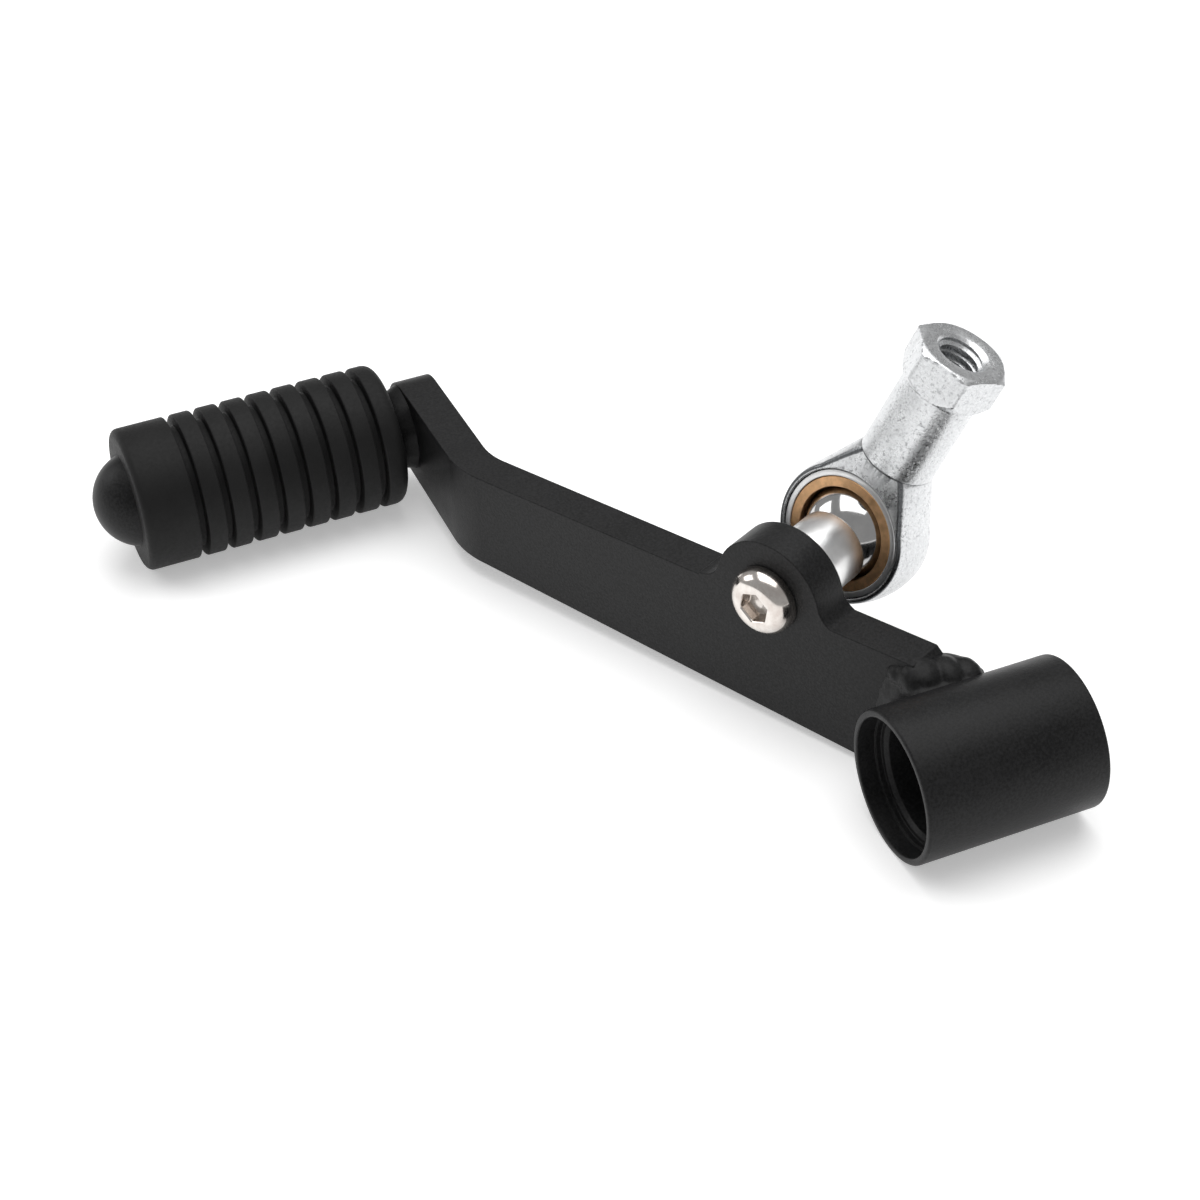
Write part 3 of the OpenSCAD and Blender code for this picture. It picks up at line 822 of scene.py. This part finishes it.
class LEVER_OT_rod_end(bpy.types.Operator):
    """Add the rod end's housing: its eye, web, neck, hex collar and tapped hole"""

    bl_idname = "lever.rod_end"
    bl_label = "Rod End"

    def mark(self, bm, made, marks, count):
        """Says how dark each ring of a loft is painted: painted shade and painted reflection along
        edges and in recesses, partly dark plating residue.
        """
        layer = bm.verts.layers.float[EDGE_SHADE]
        for k, v in enumerate(made):
            v[layer] = marks[k // count] if k // count < len(marks) else 0.0

    def eye(self, bm):
        bulge = (EYE_HALF**2 + EYE_CROWN**2) / (2 * EYE_CROWN)
        far = math.hypot(NECK_START, NECK_RADIUS)
        lean = math.tan(math.asin(EYE_RADIUS / far) - math.atan2(NECK_RADIUS, NECK_START))
        root = NECK_RADIUS + NECK_START * lean
        around = [TURN * k / 288 for k in range(288)]

        def reach(angle, height, inset):
            """How far the crowned eye, or the web's cone where it is wider, reaches at an angle."""
            circle = EYE_RADIUS - bulge + math.sqrt(bulge**2 - height**2) - inset
            c, s = math.cos(angle), math.sin(angle)
            if c <= math.sin(math.atan(lean)):
                return circle
            wide = root - inset / math.cos(math.atan(lean))
            a = s * s - lean * lean * c * c
            b = 2 * wide * lean * c
            d = height * height - wide * wide
            end = (NECK_START + 0.4) / c
            inside = b * b - 4 * a * d
            side = (-b + math.sqrt(inside)) / (2 * a) if inside > 0 else end
            return max(circle, min(side if side > 0 else end, end))

        def ring(height, inset):
            spots = [(reach(a, height, inset), a) for a in around]
            return [(r * math.sin(a), height, r * math.cos(a)) for r, a in spots]

        def bore(radius, height):
            return [(radius * math.sin(a), height, radius * math.cos(a)) for a in around]

        edge = 0.4
        heights = [(k * 1.0, 0.0) for k in range(4)] + [(3.9, 0.0)]
        heights += [
            (EYE_HALF - edge * (1 - math.sin(t)), edge * (1 - math.cos(t)))
            for t in (math.radians(90 * k / 4) for k in range(5))
        ]
        heights.append((EYE_HALF, 0.65))
        # Painted shade along the eye's rounded edges and at the bore's mouths, partly dark plating
        # residue.
        lines = [0.0] * 5 + [0.3, 0.7, 1.0, 1.0, 0.9, 0.0]
        heights = [(-h, i) for h, i in reversed(heights[1:])] + heights
        lines = list(reversed(lines[1:])) + lines
        mouth = [(EYE_BORE, 4.3), (EYE_BORE + 0.12, 4.46), (EYE_BORE + 0.25, EYE_HALF)]
        rings = [bore(r, -h) for r, h in mouth] + [ring(h, i) for h, i in heights]
        rings += [bore(r, h) for r, h in reversed(mouth)] + [bore(EYE_BORE, -4.3)]
        marks = [0.7, 0.5, 0.0] + lines + [0.0, 0.5, 0.7, 0.7]
        made = loft(bm, rings, SHANK)
        self.mark(bm, made, marks, len(around))
        bmesh.ops.remove_doubles(bm, verts=made, dist=2e-6)

    def shank(self, bm, sizes):
        around = [TURN * k / 144 for k in range(144)]
        place = SHANK @ turned(COLLAR_TURN, "Z")

        def ring(radius, height):
            return [(radius * math.cos(a), radius * math.sin(a), height) for a in around]

        def collar(cap, height):
            flats = [HEX_HALF / math.cos(a % SIXTH - SIXTH / 2) for a in around]
            reach = [min(flat, 7.98, cap) for flat in flats]
            return [(r * math.cos(a), r * math.sin(a), height) for r, a in zip(reach, around)]

        low, high = COLLAR_START, COLLAR_END
        rings = [ring(5.9, NECK_START), ring(6.12, 14.76), ring(6.22, 14.95)]
        rings.append(ring(NECK_RADIUS, 15.25))
        # Painted shade in the step at the neck's root and at the collar's foot.
        marks = [1.0, 1.0, 0.8, 0.0]
        rings += [ring(NECK_RADIUS, 15.25 + (low - 15.8) * k / 6) for k in range(1, 7)]
        rings += [ring(6.27, low - 0.35), ring(6.32, low - 0.12)]
        rings += [ring(6.5, low), collar(6.9, low + 0.1)]
        marks += [0.0] * 7 + [0.7, 0.9, 0.2]
        rings += [collar(6.9 + 1.25 * k / 8, low + 1.7 * k / 8) for k in range(1, 9)]
        rings += [collar(8.2, high - 0.75), collar(7.9, high - 0.52)]
        rings += [collar(7.5, high - 0.28), collar(7.1, high - 0.1), collar(6.85, high)]
        rings += [ring(6.4, high), ring(4.5, high), ring(4.38, high - 0.05), ring(4.0, high - 0.42)]
        made = loft(bm, rings, place, close_start=True)
        self.mark(bm, made, marks, len(around))
        crest, root = 3.4, 4.0

        def shape(radius, height):
            if height >= high - 0.42:
                return root, high - 0.42
            if height <= TAP_END:
                return crest, TAP_END
            return max(radius, 4.4 - (high - height)), height

        pitch = sizes.rod_pitch / MM
        thread_sheet(bm, crest, root, pitch, TAP_END, high - 0.4, place, shape, steps=144)
        bmesh.ops.remove_doubles(bm, verts=bm.verts, dist=4e-6)
        bmesh.ops.holes_fill(bm, edges=[e for e in bm.edges if e.is_boundary], sides=0)

    def execute(self, context):
        bm = bmesh.new()
        bm.verts.layers.float.new(EDGE_SHADE)
        self.eye(bm)
        self.shank(bm, context.scene.lever_sizes)
        # The housing's zinc gets painted shade along its edges and recesses.
        zinc = zinc_paint("Housing zinc", SHANK, shade_edges=True)
        finish_piece(bm, "rod_end_forged", "rod_end", zinc, sharp=38, weighted=True)
        return {"FINISHED"}


class LEVER_OT_stage(bpy.types.Operator):
    """Add the camera, the soft light and the pale floor"""

    bl_idname = "lever.stage"
    bl_label = "Studio"

    def softbox(self, name, place, size, power):
        lamp = bpy.data.lights.new(name, "AREA")
        lamp.shape = "RECTANGLE"
        lamp.size, lamp.size_y = size
        lamp.energy = power
        box = bpy.data.objects.new(name, lamp)
        box.location = place
        aim = Vector((-0.05, -0.02, 0)) - Vector(place)
        box.rotation_euler = aim.to_track_quat("-Z", "Y").to_euler()
        bpy.context.scene.collection.objects.link(box)

    def execute(self, context):
        scene = context.scene
        camera = bpy.data.objects.new("Camera", bpy.data.cameras.new("Camera"))
        camera.data.lens = 80.106
        camera.data.sensor_width = 36
        turn, rise, roll = math.radians(68.91), math.radians(37.41), math.radians(-3.04)
        side = Vector((math.cos(turn), math.sin(turn), 0))
        ahead = Vector((-math.sin(turn), math.cos(turn), 0))
        sight = ahead * math.cos(rise) - Vector((0, 0, math.sin(rise)))
        up = side.cross(sight)
        right = side * math.cos(roll) + up * math.sin(roll)
        head = up * math.cos(roll) - side * math.sin(roll)
        basis = Matrix((right, head, -sight)).transposed().to_4x4()
        camera.matrix_world = Matrix.Translation((0.25818, -0.15855, 0.26123)) @ basis
        camera.data.clip_start = 0.01
        scene.collection.objects.link(camera)
        scene.camera = camera
        scene.view_settings.view_transform = "Standard"

        bm = bmesh.new()
        bmesh.ops.create_grid(bm, x_segments=1, y_segments=1, size=3)
        bmesh.ops.translate(bm, vec=(0, 0, -0.01203), verts=bm.verts)
        mesh = bpy.data.meshes.new("Floor")
        bm.to_mesh(mesh)
        bm.free()
        floor = bpy.data.objects.new("Floor", mesh)
        paint = Paint("Floor")
        mesh.materials.append(paint.done(
            Base_Color=scene.lever_finish.floor_color, Roughness=0.9,
            Emission_Color=(1, 1, 1), Emission_Strength=0.36,
        ))
        scene.collection.objects.link(floor)

        self.softbox("Top light", (-0.22, 0.12, 1.02), (1.2, 1.2), 10.2)
        self.softbox("Front light", (-0.85, -0.85, 0.6), (0.6, 0.6), 2.8)

        world = bpy.data.worlds.new("Studio")
        world.use_nodes = True
        sky = world.node_tree.nodes["Background"].inputs
        sky["Color"].default_value = (1, 1, 1, 1)
        sky["Strength"].default_value = 0.37
        scene.world = world
        return {"FINISHED"}


STEPS = (
    LEVER_OT_stage, LEVER_OT_arm, LEVER_OT_tube, LEVER_OT_welds, LEVER_OT_peg, LEVER_OT_clamp,
    LEVER_OT_bearing, LEVER_OT_rod_end,
)


class LEVER_PT_panel(bpy.types.Panel):
    bl_idname = "LEVER_PT_panel"
    bl_label = "Gear Shift Lever"
    bl_space_type = "VIEW_3D"
    bl_region_type = "UI"
    bl_category = "Lever"

    def draw(self, context):
        layout = self.layout
        for group in (context.scene.lever_sizes, context.scene.lever_finish):
            for name in group.bl_rna.properties.keys():
                if name not in ("rna_type", "name"):
                    layout.prop(group, name)
        for step in STEPS:
            layout.operator(step.bl_idname)


CLASSES = (LeverSizes, LeverFinish, *STEPS, LEVER_PT_panel)


def register():
    for cls in CLASSES:
        bpy.utils.register_class(cls)
    bpy.types.Scene.lever_sizes = PointerProperty(type=LeverSizes)
    bpy.types.Scene.lever_finish = PointerProperty(type=LeverFinish)


def unregister():
    del bpy.types.Scene.lever_sizes
    del bpy.types.Scene.lever_finish
    for cls in reversed(CLASSES):
        bpy.utils.unregister_class(cls)


def main():
    register()
    for step in STEPS:
        area, name = step.bl_idname.split(".")
        getattr(getattr(bpy.ops, area), name)()


if __name__ == "__main__":
    main()
